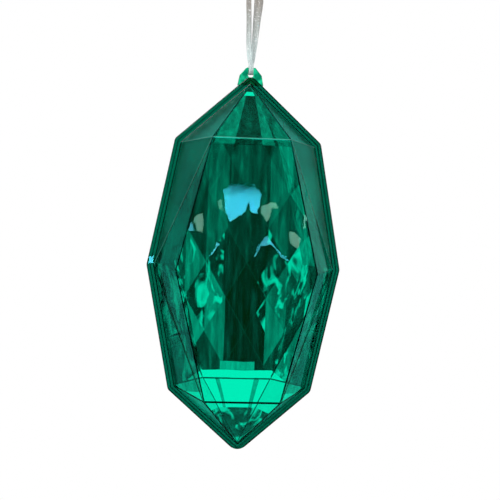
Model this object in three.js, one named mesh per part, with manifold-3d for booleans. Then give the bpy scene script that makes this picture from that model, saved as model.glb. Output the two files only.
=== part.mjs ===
// A jewelled christmas bauble: a hollow, faceted jewel of clear green plastic that hangs on a ribbon.
// Millimetres, +Z up, the front faces -Y. The origin is the knot's centre, where the ribbon is hung up.
import * as THREE from 'three';
import { mergeVertices } from 'three/addons/utils/BufferGeometryUtils.js';
import Module from 'manifold-3d';

const wasm = await Module();
wasm.setup();

// Outline of the jewel at its seam
const half_height = 103;
const shoulder_height = 68;
const shoulder_half_width = 39.2;
const waist_half_width = 52.5;

// Front and back tables, the large flat faces
const table_depth = 27;
const table_shoulder_half_width = 20;
const table_waist_half_width = 36.5;

// Rim along the seam, and the wall behind the facets
const rim_width = 3.8;
const rim_thickness = 1.6;
const rim_apex_radius = 4;
const rim_tip_radius = 6.5;
const rim_corner_radius = 4;
const rim_corner_steps = 4;
const wall = 2.3;
const hollow_trim = 1.4;
const cut_overrun = 1;

// Diamond cut on the inner face of the back shell
const diamond_width = 23.5;
const diamond_height = 40;
const diamond_relief = 2.2;
const diamond_root = 0.8;

// Eye that the ribbon runs through
const eye_thickness = 3;
const eye_top_half_width = 2.4;
const eye_half_width = 5.9;
const eye_foot_half_width = 6.9;
const eye_rise = 5.3;
const eye_shoulder_rise = 1.2;
const eye_foot_depth = 6;
const eye_hole_radius = 1.5;
const eye_hole_sides = 20;
const eye_bar = 2.2;
const foot_clearance = 0.3;

// Ribbon, its knot and its tails
const ribbon_thickness = 0.6;
const ribbon_width = 4.8;
const ribbon_gathered_width = 2;
const ribbon_clearance = 0.35;
const ribbon_rise = 46;
const ribbon_end_gap = 0.3;
const knot_radius = 2.9;
const knot_depth = 4.8;
const knot_sides = 16;
const knot_rings = 10;
const tail_width = 4.4;

// Places that follow from the sizes above
const apex_angle = Math.atan2(shoulder_half_width, half_height - shoulder_height);
const rim_top = half_height - rim_apex_radius * (1 / Math.sin(apex_angle) - 1);
const eye_top = rim_top + eye_rise;
const eye_hole_height = eye_top - eye_bar - eye_hole_radius;
const bar_height = eye_top - eye_bar / 2;
const bar_depth = eye_thickness / 2;
const jewel_height = -(ribbon_rise + bar_height);
const bight_radius = Math.hypot(eye_bar / 2, eye_thickness / 2) + ribbon_clearance + ribbon_thickness / 2;

// Solids from meshes

/** Turns a closed geometry into a solid that can be joined and cut. */
function solidOf(geometry) {
  const bare = geometry.clone();
  bare.deleteAttribute('normal');
  bare.deleteAttribute('uv');
  const merged = mergeVertices(bare, 1e-4);
  return new wasm.Manifold(new wasm.Mesh({
    numProp: 3,
    vertProperties: Float32Array.from(merged.attributes.position.array),
    triVerts: Uint32Array.from(merged.index.array),
  }));
}

/** Turns a solid back into a geometry. */
function geometryOf(solid) {
  const mesh = solid.getMesh();
  const geometry = new THREE.BufferGeometry();
  geometry.setAttribute('position', new THREE.BufferAttribute(Float32Array.from(mesh.vertProperties), 3));
  geometry.setIndex(new THREE.BufferAttribute(Uint32Array.from(mesh.triVerts), 1));
  const flat = geometry.toNonIndexed();
  flat.computeVertexNormals();
  return flat;
}

/** Makes a geometry from points [x, y, z] and faces, each a ring of point numbers seen from outside. */
function polyhedron(points, faces) {
  const triangles = [];
  for (const face of faces) {
    for (let i = 1; i + 1 < face.length; i += 1) {
      triangles.push(face[0], face[i], face[i + 1]);
    }
  }
  const geometry = new THREE.BufferGeometry();
  geometry.setAttribute('position', new THREE.Float32BufferAttribute(points.flat(), 3));
  geometry.setIndex(triangles);
  return geometry;
}

/** Reverses the winding of every face, which a mirrored shape needs. */
function mirrored(geometry) {
  const turned = geometry.clone().scale(1, -1, 1);
  const index = turned.index.array;
  for (let i = 0; i < index.length; i += 3) {
    [index[i + 1], index[i + 2]] = [index[i + 2], index[i + 1]];
  }
  return turned;
}

// Outline

/** The eight corners of the seam, clockwise from the apex as seen from the front, drawn in by an inset. */
function seamCorners(inset) {
  const corners = [
    [0, half_height],
    [shoulder_half_width, shoulder_height],
    [waist_half_width, 0],
    [shoulder_half_width, -shoulder_height],
    [0, -half_height],
    [-shoulder_half_width, -shoulder_height],
    [-waist_half_width, 0],
    [-shoulder_half_width, shoulder_height],
  ].map(([x, z]) => new THREE.Vector2(x, z));
  return corners.map((corner, i) => {
    const before = corners[(i + corners.length - 1) % corners.length];
    const after = corners[(i + 1) % corners.length];
    const arriving = corner.clone().sub(before).normalize();
    const leaving = after.clone().sub(corner).normalize();
    const inward = new THREE.Vector2(arriving.y + leaving.y, -arriving.x - leaving.x).normalize();
    const half_angle = Math.acos(THREE.MathUtils.clamp(arriving.dot(leaving), -1, 1)) / 2;
    return corner.clone().addScaledVector(inward, inset / Math.cos(half_angle));
  });
}

/** The seam's outline with each corner rounded by an arc, the widest one at the tip. */
function rimShape() {
  const corners = seamCorners(0);
  const radii = corners.map(() => rim_corner_radius);
  radii[0] = rim_apex_radius;
  radii[corners.length / 2] = rim_tip_radius;
  const points = [];
  corners.forEach((corner, i) => {
    const radius = radii[i];
    const before = corners[(i + corners.length - 1) % corners.length].clone().sub(corner).normalize();
    const after = corners[(i + 1) % corners.length].clone().sub(corner).normalize();
    const half_angle = Math.acos(before.dot(after)) / 2;
    const middle = before.clone().add(after).normalize();
    const centre = corner.clone().addScaledVector(middle, radius / Math.sin(half_angle));
    const reach = radius / Math.tan(half_angle);
    const from = corner.clone().addScaledVector(before, reach).sub(centre).angle();
    let sweep = corner.clone().addScaledVector(after, reach).sub(centre).angle() - from;
    if (sweep > Math.PI) sweep -= 2 * Math.PI;
    if (sweep < -Math.PI) sweep += 2 * Math.PI;
    for (let step = 0; step <= rim_corner_steps; step += 1) {
      const angle = from + sweep * step / rim_corner_steps;
      points.push(new THREE.Vector2(
        centre.x + radius * Math.cos(angle),
        centre.y + radius * Math.sin(angle),
      ));
    }
  });
  return new THREE.Shape(points);
}

// Shells, built as the front half and mirrored for the back

/** A plate in the XZ plane, from depth y = near to y = far, cut to an outline drawn in X and Z. */
function plate(shape, near, far, steps = 1) {
  const options = { depth: far - near, bevelEnabled: false, curveSegments: steps };
  const geometry = new THREE.ExtrudeGeometry(shape, options);
  return geometry.rotateX(Math.PI / 2).translate(0, far, 0);
}

/**
 * The faceted body of the front half, from y = seam to the table at y = -depth.
 * Its outline is drawn in by an inset, and its table by a trim. The table has six corners.
 */
function facetedBody(inset, depth, trim, seam) {
  const ring = seamCorners(inset);
  const ledge = ring.map(({ x, y }) => [x, -rim_thickness, y]);
  const seat = ring.map(({ x, y }) => [x, seam, y]);
  const shoulder = table_shoulder_half_width - trim;
  const waist = table_waist_half_width - trim;
  const shoulder_line = shoulder_height - trim;
  const table = [
    [-shoulder, -depth, shoulder_line],
    [shoulder, -depth, shoulder_line],
    [waist, -depth, 0],
    [shoulder, -depth, -shoulder_line],
    [-shoulder, -depth, -shoulder_line],
    [-waist, -depth, 0],
  ];
  const n = ring.length;
  const [a, b, c, d, e, f] = table.map((_, i) => 2 * n + i);
  const faces = [
    [a, f, e, d, c, b],
    [0, a, b], [0, b, 1], [1, b, 2], [b, c, 2], [c, d, 2], [2, d, 3], [3, d, 4],
    [4, d, e], [4, e, 5], [5, e, 6], [e, f, 6], [f, a, 6], [6, a, 7], [7, a, 0],
    seat.map((_, i) => n + i),
    ...ledge.map((_, i) => [i, (i + 1) % n, n + (i + 1) % n, n + i]),
  ];
  return polyhedron([...ledge, ...seat, ...table], faces);
}

const outer_body = facetedBody(rim_width, table_depth, 0, 0);
const hollow_body = facetedBody(rim_width + wall, table_depth - wall, hollow_trim, cut_overrun);

/** The front shell: a plain faceted cup with a flat rim along the seam. */
function frontShellSolid() {
  const rim = solidOf(plate(rimShape(), -rim_thickness, 0));
  return solidOf(outer_body).add(rim).subtract(solidOf(hollow_body));
}

/** One low four-sided pyramid of the diamond cut, pointing into the hollow of the back half. */
function diamond(x, z) {
  const base = table_depth - wall + diamond_root;
  const peak = table_depth - wall - diamond_relief;
  const points = [
    [x - diamond_width / 2, base, z],
    [x, base, z - diamond_height / 2],
    [x + diamond_width / 2, base, z],
    [x, base, z + diamond_height / 2],
    [x, peak, z],
  ];
  return polyhedron(points, [[0, 3, 2, 1], [0, 1, 4], [1, 2, 4], [2, 3, 4], [3, 0, 4]]);
}

/** All the diamonds of the cut, in rows that are staggered by half a diamond. */
function diamondCut() {
  let cut = null;
  const rows = Math.floor(2 * shoulder_height / diamond_height);
  const columns = Math.ceil(table_waist_half_width / diamond_width);
  for (let row = -rows; row <= rows; row += 1) {
    const stagger = row % 2 === 0 ? diamond_width / 2 : 0;
    for (let column = -columns; column <= columns; column += 1) {
      const piece = solidOf(diamond(column * diamond_width + stagger, row * diamond_height / 2));
      cut = cut ? cut.add(piece) : piece;
    }
  }
  return cut.intersect(solidOf(mirrored(outer_body)));
}

/** The eye's outline in X and Z, grown by a clearance. The foot stands between the rims. */
function eyeOutline(clearance) {
  const half = [
    [eye_top_half_width + clearance, eye_top + clearance],
    [eye_half_width + clearance, rim_top + eye_shoulder_rise],
    [eye_foot_half_width + clearance, rim_top - eye_foot_depth - clearance],
  ];
  const left = half.map(([x, z]) => new THREE.Vector2(-x, z));
  const right = half.map(([x, z]) => new THREE.Vector2(x, z)).reverse();
  return new THREE.Shape([...left, ...right]);
}

/** The eye: a flat arch with the ribbon's hole under its bar. */
function eyeGeometry() {
  const shape = eyeOutline(0);
  const hole = new THREE.Path();
  hole.absarc(0, eye_hole_height, eye_hole_radius, 0, 2 * Math.PI);
  shape.holes.push(hole);
  return plate(shape, 0, eye_thickness, eye_hole_sides / 2);
}

/** The back shell: the front one mirrored, with the diamond cut inside and a notch for the eye's foot. */
function backShellSolid() {
  const body = solidOf(mirrored(outer_body));
  const rim = solidOf(plate(rimShape(), 0, rim_thickness));
  const hollow = solidOf(mirrored(hollow_body));
  const notch = solidOf(plate(eyeOutline(foot_clearance), -cut_overrun, eye_thickness + foot_clearance));
  return body.add(rim).subtract(hollow).add(diamondCut()).subtract(notch);
}

// Ribbon

/**
 * A flat band along a route. Each stop is [x, y, z, width], and the band's width lies along X.
 * The section has eight sides, so that the edges are rounded.
 */
function band(stops) {
  const points = stops.map(([x, y, z]) => new THREE.Vector3(x, y, z));
  const section = [[-1, -0.3], [-0.9, -1], [0.9, -1], [1, -0.3], [1, 0.3], [0.9, 1], [-0.9, 1], [-1, 0.3]];
  const rings = points.map((point, i) => {
    const before = points[Math.max(i - 1, 0)];
    const after = points[Math.min(i + 1, points.length - 1)];
    const along = after.clone().sub(before).normalize();
    const across = new THREE.Vector3(1, 0, 0).addScaledVector(along, -along.x).normalize();
    const outward = along.clone().cross(across);
    const half_width = stops[i][3] / 2;
    return section.map(([u, v]) => point.clone()
      .addScaledVector(across, u * half_width)
      .addScaledVector(outward, v * ribbon_thickness / 2)
      .toArray());
  });
  const n = section.length;
  const faces = [rings[0].map((_, k) => k).reverse()];
  for (let i = 0; i + 1 < rings.length; i += 1) {
    for (let k = 0; k < n; k += 1) {
      const next = (k + 1) % n;
      faces.push([i * n + k, i * n + next, (i + 1) * n + next, (i + 1) * n + k]);
    }
  }
  faces.push(rings[0].map((_, k) => (rings.length - 1) * n + k));
  return polyhedron(rings.flat(), faces);
}

/** Stops round the underside of the eye's bar, from the back to the front. */
function bight() {
  const steps = 8;
  const stops = [];
  for (let step = 0; step <= steps; step += 1) {
    const angle = -Math.PI * step / steps;
    const y = bight_radius * Math.cos(angle);
    const z = bight_radius * Math.sin(angle) - ribbon_rise;
    stops.push([0, y, z, ribbon_gathered_width]);
  }
  return stops;
}

// Stops of each strand above the bight, with the ribbon's width there, counted from the knot's centre
const front_rise = [
  [-0.3, -2.5, -44, 2.3],
  [-1.2, -2.4, -40.6, 2.6],
  [-1.6, -2.0, -32.4, 2.8],
  [-2.0, -1.4, -20, 2.7],
  [-2.4, -1.0, -8, 2.7],
  [-1.2, -0.7, -2.87, 2.4],
];
const back_rise = [
  [0, bight_radius, ribbon_end_gap - ribbon_rise, ribbon_gathered_width],
  [0.3, 2.5, -44, 2.3],
  [0.9, 2.4, -40.6, 2.6],
  [1.6, 2.0, -32.4, 3.0],
  [2.4, 1.4, -20, 4.0],
  [3.0, 1.0, -8, ribbon_width],
  [1.3, 0.7, -2.83, 2.6],
];
const left_tail = [
  [-1.0, -0.5, 3.0, 3],
  [-2.4, -0.6, 6.2, tail_width],
  [-4.7, -0.7, 8.9, tail_width],
  [-7.6, -0.7, 10.7, tail_width],
  [-10.6, -0.6, 11.2, tail_width],
];
const right_tail = [
  [1.0, 0.5, 3.0, 3],
  [1.9, 0.6, 6.6, tail_width],
  [3.6, 0.7, 9.8, tail_width],
  [6.2, 0.7, 12.0, tail_width],
  [9.2, 0.6, 12.9, tail_width],
];

/** The knot, a round lump that is a little flatter from front to back. */
function knotGeometry() {
  const round = new THREE.SphereGeometry(knot_radius, knot_sides, knot_rings);
  return round.scale(1, knot_depth / (2 * knot_radius), 1);
}

// Finishes

const green_plastic = { color: 0x0a6b4c, roughness: 0.08, metalness: 0 };
const thin_green_plastic = { color: 0x0b9868, roughness: 0.12, metalness: 0 };
const sheer_ribbon = { color: 0xb4b4ac, roughness: 0.5, metalness: 0 };

/** A named piece with a material of its own. */
function piece(name, geometry, finish) {
  const mesh = new THREE.Mesh(geometry, new THREE.MeshStandardMaterial(finish));
  mesh.name = name;
  return mesh;
}

// Assembly

const jewel = new THREE.Group();
jewel.position.set(0, -bar_depth, jewel_height);
jewel.add(
  piece('front_shell', geometryOf(frontShellSolid()), green_plastic),
  piece('back_shell', geometryOf(backShellSolid()), green_plastic),
  piece('hanger_eye', eyeGeometry(), thin_green_plastic),
);

const ribbon = new THREE.Group();
ribbon.add(
  piece('ribbon_front_strand', band([...bight(), ...front_rise]), sheer_ribbon),
  piece('ribbon_back_strand', band(back_rise), sheer_ribbon),
  piece('ribbon_knot', knotGeometry(), sheer_ribbon),
  piece('ribbon_tail_left', band(left_tail), sheer_ribbon),
  piece('ribbon_tail_right', band(right_tail), sheer_ribbon),
);

const group = new THREE.Group();
group.add(jewel, ribbon);

export default group;
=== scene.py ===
"""A jewelled christmas bauble: two hollow half shells of clear green acrylic, an eye and a sheer ribbon.

Metres, +Z up, the front faces -Y. The origin is the centre of the ribbon's knot.
"""
import logging
import math
import random
from dataclasses import dataclass, field
from enum import Enum
from typing import Any, Callable, Sequence

import bmesh
import bpy
from mathutils import Matrix, Vector
from mathutils.geometry import intersect_point_line


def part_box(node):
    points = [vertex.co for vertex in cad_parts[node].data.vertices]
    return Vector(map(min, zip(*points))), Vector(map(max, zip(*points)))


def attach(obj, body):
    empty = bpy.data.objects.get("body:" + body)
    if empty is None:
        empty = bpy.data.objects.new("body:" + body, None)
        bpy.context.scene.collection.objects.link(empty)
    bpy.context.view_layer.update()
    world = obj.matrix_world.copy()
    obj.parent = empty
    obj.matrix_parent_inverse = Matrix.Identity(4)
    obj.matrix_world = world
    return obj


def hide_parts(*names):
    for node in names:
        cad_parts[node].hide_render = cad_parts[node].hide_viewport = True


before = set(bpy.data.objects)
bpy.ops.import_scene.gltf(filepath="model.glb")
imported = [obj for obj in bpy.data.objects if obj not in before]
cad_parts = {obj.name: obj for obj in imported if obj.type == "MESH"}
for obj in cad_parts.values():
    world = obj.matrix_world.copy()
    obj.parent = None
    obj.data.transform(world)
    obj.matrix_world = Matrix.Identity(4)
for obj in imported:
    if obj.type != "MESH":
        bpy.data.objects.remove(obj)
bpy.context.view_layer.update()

MM = 0.001
SEED = 11
LOG = logging.getLogger("bauble")

Pixel = tuple[float, float]
Plane = tuple[Vector, Vector]
Stop = tuple[float, float, float, float]
Colour = tuple[float, float, float, float]
Socket = bpy.types.NodeSocket
Verts = Sequence[bmesh.types.BMVert]


def linear(hex_colour: str) -> Colour:
    """Turns an sRGB hex colour into linear values.

    Args:
        hex_colour: The colour as "#RRGGBB".

    Returns:
        Linear red, green and blue, and an alpha of 1.
    """
    values = [int(hex_colour[i:i + 2], 16) / 255 for i in (1, 3, 5)]
    red, green, blue = [v / 12.92 if v <= 0.04045 else ((v + 0.055) / 1.055) ** 2.4 for v in values]
    return red, green, blue, 1.0


class Nodes:
    """A node tree, with short calls for the nodes that come up most."""

    def __init__(self, tree: bpy.types.NodeTree) -> None:
        """Takes the tree and empties it."""
        self.tree = tree
        tree.nodes.clear()

    def add(self, kind: str, inputs: dict[Any, Any] | None = None, **settings: Any) -> Any:
        """Adds a node.

        Args:
            kind: The node's type name.
            inputs: What its sockets get, by name or number: a constant, or an output that feeds the socket.
            settings: The node's own settings.

        Returns:
            The node's outputs.
        """
        node = self.tree.nodes.new(kind)
        for name, value in settings.items():
            setattr(node, name, value)
        for socket, value in (inputs or {}).items():
            if isinstance(value, Socket):
                self.tree.links.new(value, node.inputs[socket])
            else:
                node.inputs[socket].default_value = value
        return node.outputs

    def maths(self, operation: str, *values: Any, clamp: bool = False) -> Socket:
        """Calculates with one to three values."""
        return self.add("ShaderNodeMath", dict(enumerate(values)), operation=operation, use_clamp=clamp)[0]

    def ranged(
        self, value: Socket, source: Sequence[float], target: Sequence[float] = (0, 1), smooth: bool = False
    ) -> Socket:
        """Maps a range to another and keeps to its ends.

        Args:
            value: What is mapped.
            source: Where the range starts and ends.
            target: What it becomes there.
            smooth: Whether the result eases in and out.

        Returns:
            The result.
        """
        keys = ("From Min", "From Max", "To Min", "To Max")
        inputs = {"Value": value} | dict(zip(keys, (*source, *target)))
        easing = "SMOOTHSTEP" if smooth else "LINEAR"
        return self.add("ShaderNodeMapRange", inputs, interpolation_type=easing)[0]

    def bump(self, height: Socket, distance: float, strength: float = 1.0) -> Socket:
        """Turns a height into a bumped normal."""
        return self.add("ShaderNodeBump", {"Strength": strength, "Distance": distance, "Height": height})[0]

    def noise(
        self, place: Socket, size: float, detail: float = 2.0, roughness: float = 0.5, distortion: float = 0.0
    ) -> Socket:
        """Makes a noise.

        Args:
            place: Where it is looked up.
            size: How large its patches are.
            detail: How many finer layers it has.
            roughness: How strong the finer layers are.
            distortion: How much it is warped.

        Returns:
            The noise, mostly from 0.3 to 0.7.
        """
        inputs = {"Vector": place, "Scale": 1 / size, "Detail": detail}
        inputs |= {"Roughness": roughness, "Distortion": distortion}
        return self.add("ShaderNodeTexNoise", inputs)[0]

    def drawn_out(self, place: Socket, width: float, length: float) -> Socket:
        """Scales a place so that a pattern of size 1 gets a width, and a length along Z."""
        scale = (1 / width, 1 / width, 1 / length)
        return self.add("ShaderNodeMapping", {"Vector": place, "Scale": scale})[0]

    def mix(self, share: Socket, first: Colour | Socket, second: Colour | Socket) -> Socket:
        """Mixes two colours by the second one's share."""
        inputs = {"Factor": share, "A": first, "B": second}
        return self.add("ShaderNodeMix", inputs, data_type="RGBA")["Result"]

    def attribute(self, name: str) -> Socket:
        """Reads a number that the mesh carries."""
        return self.add("ShaderNodeAttribute", attribute_name=name)["Fac"]

    def place(self) -> Socket:
        """Reads the place on the object."""
        return self.add("ShaderNodeTexCoord")["Object"]

    def axis(self, vector: Socket, name: str) -> Socket:
        """Takes one axis of a vector."""
        return self.add("ShaderNodeSeparateXYZ", {0: vector})[name]

    def surface(self, inputs: dict[str, Any]) -> None:
        """Ends a material in one surface with these inputs."""
        shader = self.add("ShaderNodeBsdfPrincipled", inputs)[0]
        self.add("ShaderNodeOutputMaterial", {"Surface": shader})


class GeometryTree(Nodes):
    """A Geometry Nodes tree with a named input for each size, which ends in a realized and dressed mesh."""

    def __init__(self, name: str, sizes: dict[str, float]) -> None:
        """Makes the tree with its inputs.

        Args:
            name: The tree's name.
            sizes: Each size by its input's name.
        """
        super().__init__(bpy.data.node_groups.new(name, "GeometryNodeTree"))
        self.sizes = sizes
        face = self.tree.interface
        face.new_socket("Geometry", in_out="INPUT", socket_type="NodeSocketGeometry")
        face.new_socket("Geometry", in_out="OUTPUT", socket_type="NodeSocketGeometry")
        kinds = dict.fromkeys(sizes, "NodeSocketFloat") | {"Material": "NodeSocketMaterial"}
        self.identifiers = {
            key: face.new_socket(key, in_out="INPUT", socket_type=kind).identifier
            for key, kind in kinds.items()
        }
        self.inputs = self.add("NodeGroupInput")

    def named(self, name: str, kind: str = "FLOAT") -> Socket:
        """Reads a named attribute."""
        return self.add("GeometryNodeInputNamedAttribute", {"Name": name}, data_type=kind)[0]

    def stored(
        self, mesh: Socket, name: str, value: Socket, kind: str = "FLOAT", domain: str = "POINT"
    ) -> Socket:
        """Stores a named attribute and gives the geometry on."""
        inputs = {"Geometry": mesh, "Name": name, "Value": value}
        return self.add("GeometryNodeStoreNamedAttribute", inputs, data_type=kind, domain=domain)[0]

    def end(self, mesh: Socket, chosen: bool | Socket = True) -> None:
        """Realizes the geometry and sets its material.

        Args:
            mesh: The geometry.
            chosen: Which faces get the material.
        """
        inputs = {"Geometry": self.add("GeometryNodeRealizeInstances", {0: mesh})[0], "Selection": chosen}
        dressed = self.add("GeometryNodeSetMaterial", inputs | {"Material": self.inputs["Material"]})[0]
        self.add("NodeGroupOutput", {0: dressed})

    def put_on(self, piece: bpy.types.Object, finish: bpy.types.Material) -> None:
        """Adds the tree to a piece as a modifier.

        Args:
            piece: The object that the tree works on.
            finish: The material.
        """
        modifier = piece.modifiers.new(self.tree.name, "NODES")
        modifier.node_group = self.tree
        for name, value in (self.sizes | {"Material": finish}).items():
            modifier[self.identifiers[name]] = value


def new_object(name: str, data: bpy.types.ID) -> bpy.types.Object:
    """Makes an object at the origin and links it to the scene.

    Args:
        name: The object's name.
        data: Its mesh, curve, light or camera.

    Returns:
        The object.
    """
    made = bpy.data.objects.new(name, data)
    bpy.context.scene.collection.objects.link(made)
    return made


def new_material(name: str) -> tuple[bpy.types.Material, Nodes]:
    """Makes an empty node material.

    Args:
        name: The material's name.

    Returns:
        The material and its tree.
    """
    made = bpy.data.materials.new(name)
    made.use_nodes = True
    return made, Nodes(made.node_tree)


def evaluated(piece: bpy.types.Object) -> bpy.types.Mesh:
    """Makes a plain mesh of a piece with its modifiers.

    Args:
        piece: A mesh or curve object.

    Returns:
        The mesh, with the piece's name.
    """
    graph = bpy.context.evaluated_depsgraph_get()
    graph.update()
    mesh = bpy.data.meshes.new_from_object(piece.evaluated_get(graph))
    mesh.name = piece.name
    return mesh


def applied(piece: bpy.types.Object) -> None:
    """Turns a piece's modifiers into plain mesh data and removes them.

    Args:
        piece: A mesh object.
    """
    mesh = evaluated(piece)
    piece.modifiers.clear()
    piece.data = mesh


def mesh_piece(name: str, build: Callable[[bmesh.types.BMesh], None]) -> bpy.types.Object:
    """Makes a mesh object from a function that fills a bmesh.

    Args:
        name: The piece's name.
        build: Fills the bmesh, in the row frame.

    Returns:
        The piece, at the origin.
    """
    bm = bmesh.new()
    build(bm)
    mesh = bpy.data.meshes.new(name)
    bm.to_mesh(mesh)
    bm.free()
    return new_object(name, mesh)


class Side(Enum):
    """Which half of the jewel a shell is, as the sign of Y."""

    FRONT = -1
    BACK = 1


# Finishes


@dataclass(frozen=True)
class ClearAcrylic:
    """Injection-moulded, dyed acrylic. Its polished facets send light through and tint it green."""

    name: str
    clear_hex: str = "#00F7DA"
    gloss_tint_hex: str = "#979797"
    roughness: float = 0.015
    rub_roughness: float = 0.05
    rub_size: float = 14 * MM
    rubs_range: tuple[float, float] = (0.55, 0.8)
    transmission: float = 1.0
    refraction: float = 1.49
    sink_width: float = 9 * MM
    sink_height: float = 0.02 * MM

    def build(self) -> bpy.types.Material:
        """Builds the material.

        Returns:
            The material.
        """
        made, nodes = new_material(self.name)
        place = nodes.place()
        sinks = nodes.noise(place, self.sink_width, roughness=0.4)
        rubs = nodes.noise(place, self.rub_size, detail=6.0, roughness=0.7)
        nodes.surface({
            "Base Color": self.colour(nodes, place),
            "Roughness": nodes.ranged(rubs, self.rubs_range, (self.roughness, self.rub_roughness)),
            "IOR": self.refraction,
            "Transmission Weight": self.transmission,
            "Specular Tint": linear(self.gloss_tint_hex),
            "Normal": nodes.bump(sinks, self.sink_height),
        })
        return made

    def colour(self, nodes: Nodes, place: Socket) -> Colour | Socket:
        """Gives the colour that the surface tints light with, in linear values."""
        return linear(self.clear_hex)


@dataclass(frozen=True)
class CutAcrylicWithPaintedLight(ClearAcrylic):
    """The same acrylic where diamonds are cut into it, with light and shade painted into its colour.

    Each face carries a share of painted light, which mixes the dark and the clear colour, and a strength of
    painted glints.
    """

    # A dark gloss tint, so that reflections don't lift the painted shade
    gloss_tint_hex: str = "#10302A"
    # The colour of the painted shade
    dark_hex: str = "#000100"
    # Painted highlights along the ridges between the diamonds
    ridge_highlight_share: float = 0.016
    ridge_highlight_width: float = 0.014
    # Painted streaks that vary the painted light
    streak_width: float = 3.5 * MM
    streak_length: float = 26 * MM
    streak_depth: float = 3.2
    streak_middle: float = 0.5
    plain_power: float = 2.0
    least_power: float = 0.5
    # Painted glints: bright patches from a stretched noise
    glint_patch_width: float = 8 * MM
    glint_patch_length: float = 15 * MM
    glint_range: tuple[float, float] = (0.51, 0.68)

    def colour(self, nodes: Nodes, place: Socket) -> Colour | Socket:
        """Paints light and shade: mixes dark and clear by the faces' painted light, painted streaks, painted
        glints and painted highlights on the fine lines between the diamonds.

        Args:
            nodes: The material's tree.
            place: The place on the object.

        Returns:
            The mixed colour.
        """
        # Painted streaks of light and shade
        streaked = nodes.drawn_out(place, self.streak_width, self.streak_length)
        streaks = nodes.noise(streaked, 1.0, detail=3.0, roughness=0.55, distortion=0.4)
        # Painted glints
        glint_place = nodes.drawn_out(place, self.glint_patch_width, self.glint_patch_length)
        folds = nodes.noise(glint_place, 1.0, distortion=1.0)
        streak = nodes.maths("SUBTRACT", streaks, self.streak_middle)
        power = nodes.maths("MULTIPLY_ADD", streak, self.streak_depth, self.plain_power)
        power = nodes.maths("MAXIMUM", power, self.least_power)
        share = nodes.maths("POWER", nodes.attribute("painted_light"), power)
        glint = nodes.ranged(folds, self.glint_range, smooth=True)
        share = nodes.maths("MULTIPLY_ADD", glint, nodes.attribute("painted_glint"), share)
        # Painted highlights along the ridges
        line = nodes.ranged(nodes.attribute("ridge"), (1 - self.ridge_highlight_width, 1), (0, self.ridge_highlight_share))
        share = nodes.maths("MAXIMUM", share, line, clamp=True)
        return nodes.mix(share, linear(self.dark_hex), linear(self.clear_hex))


@dataclass(frozen=True)
class CloudyAcrylic(ClearAcrylic):
    """The same acrylic where it is thin and moulded less evenly, with paler and darker patches."""

    clear_hex: str = "#20D8A0"
    dark_hex: str = "#007050"
    patch_size: float = 3.5 * MM
    patch_range: tuple[float, float] = (0.4, 0.62)

    def colour(self, nodes: Nodes, place: Socket) -> Colour | Socket:
        """Mixes the patches' two greens."""
        share = nodes.ranged(nodes.noise(place, self.patch_size), self.patch_range)
        return nodes.mix(share, linear(self.dark_hex), linear(self.clear_hex))


@dataclass(frozen=True)
class Organza:
    """Sheer woven ribbon: fine silvery threads with gaps that pass light, cool lower down, with painted shade
    in its folds and painted sparkles.
    """

    name: str = "silvery organza"
    cool_hex: str = "#DDF0EF"
    warm_hex: str = "#9C9286"
    # The colour of the painted shade in the folds
    painted_fold_shade_hex: str = "#000000"
    # The colour of the painted sparkles
    painted_sparkle_hex: str = "#FFFFFF"
    warming_heights: tuple[float, float] = (-38 * MM, -10 * MM)
    fold_shade: float = 0.55
    fold_spacing: float = 1.6 * MM
    fold_shortness: float = 0.08
    fold_range: tuple[float, float] = (0.35, 0.65)
    spark_size: float = 0.5 * MM
    spark_range: tuple[float, float] = (0.6, 0.66)
    thread_spacing: float = 0.45 * MM
    thread_height: float = 0.1 * MM
    thread_waver: float = 0.3
    wave_scale: float = 0.314
    gap_cover: float = 0.35
    thread_cover: float = 0.25
    fold_cover: float = 0.3
    roughness: float = 0.45
    refraction: float = 1.5
    sheen: float = 0.4

    def build(self) -> bpy.types.Material:
        """Builds the material.

        Returns:
            The material.
        """
        made, nodes = new_material(self.name)
        uv = nodes.add("ShaderNodeUVMap", uv_map="weave")[0]
        scale = (1 / self.fold_spacing, self.fold_shortness / self.fold_spacing, 1)
        drawn = nodes.add("ShaderNodeMapping", {"Vector": uv, "Scale": scale})[0]
        folds = nodes.noise(drawn, 1.0, detail=4.0, roughness=0.6)
        threads = {"Vector": uv, "Scale": self.wave_scale / self.thread_spacing}
        threads |= {"Distortion": self.thread_waver, "Detail": 1.0}
        waves = [nodes.add("ShaderNodeTexWave", threads, bands_direction=way)["Fac"] for way in "XY"]
        weave = nodes.maths("MAXIMUM", *waves)
        place = nodes.place()
        warmth = nodes.ranged(nodes.axis(place, "Z"), self.warming_heights)
        colour = nodes.mix(warmth, linear(self.cool_hex), linear(self.warm_hex))
        # Painted shade in the folds
        shade = nodes.ranged(folds, self.fold_range, (self.fold_shade, 0))
        colour = nodes.mix(shade, colour, linear(self.painted_fold_shade_hex))
        # Painted sparkles
        painted_sparkle = nodes.ranged(nodes.noise(place, self.spark_size), self.spark_range)
        colour = nodes.mix(painted_sparkle, colour, linear(self.painted_sparkle_hex))
        cover = nodes.maths("MULTIPLY_ADD", weave, self.thread_cover, self.gap_cover)
        cover = nodes.maths("MULTIPLY_ADD", folds, self.fold_cover, cover, clamp=True)
        nodes.surface({
            "Base Color": colour,
            "Roughness": self.roughness,
            "IOR": self.refraction,
            "Sheen Weight": self.sheen,
            "Sheen Roughness": self.sheen,
            "Normal": nodes.bump(weave, self.thread_height, strength=0.5),
            "Alpha": cover,
        })
        return made


# The jewel


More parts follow.
